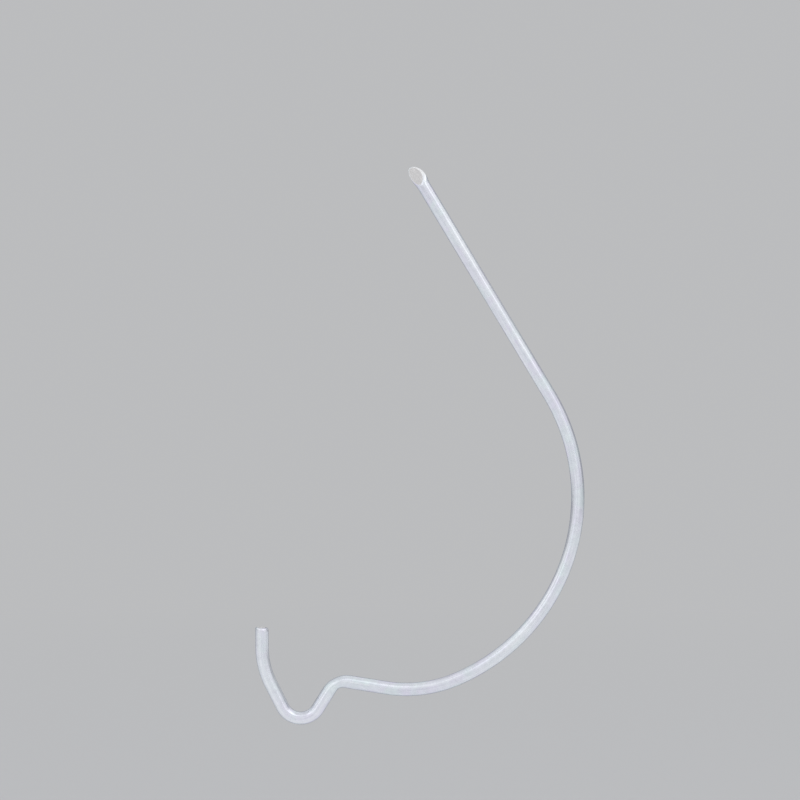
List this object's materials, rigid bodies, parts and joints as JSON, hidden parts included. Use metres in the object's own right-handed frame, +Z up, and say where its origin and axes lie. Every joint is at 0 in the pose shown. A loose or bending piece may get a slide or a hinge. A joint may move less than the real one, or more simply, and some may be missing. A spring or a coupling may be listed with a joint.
{
  "type": "picture hook",
  "caption": "Bent-wire picture hook for plasterboard: a pointed leg and wide bow push through the board and brace behind it, and a small open hook in front carries the picture.",
  "frame": {"origin": "top of the crest bend on the wire's centreline, where the wire passes the wall's front face", "axes": "+Z up the wall, +Y into the wall along the wire at the crest, +X along the wall, square to the plane of the bent wire"},
  "size_m": [0.0024, 0.0626, 0.1066],
  "materials": {
    "zinc_wire": "bright zinc plating on drawn wire, with bare sheared ends"
  },
  "bodies": {
    "root": {"wire_hook": "zinc_wire"}
  },
  "joints": []
}
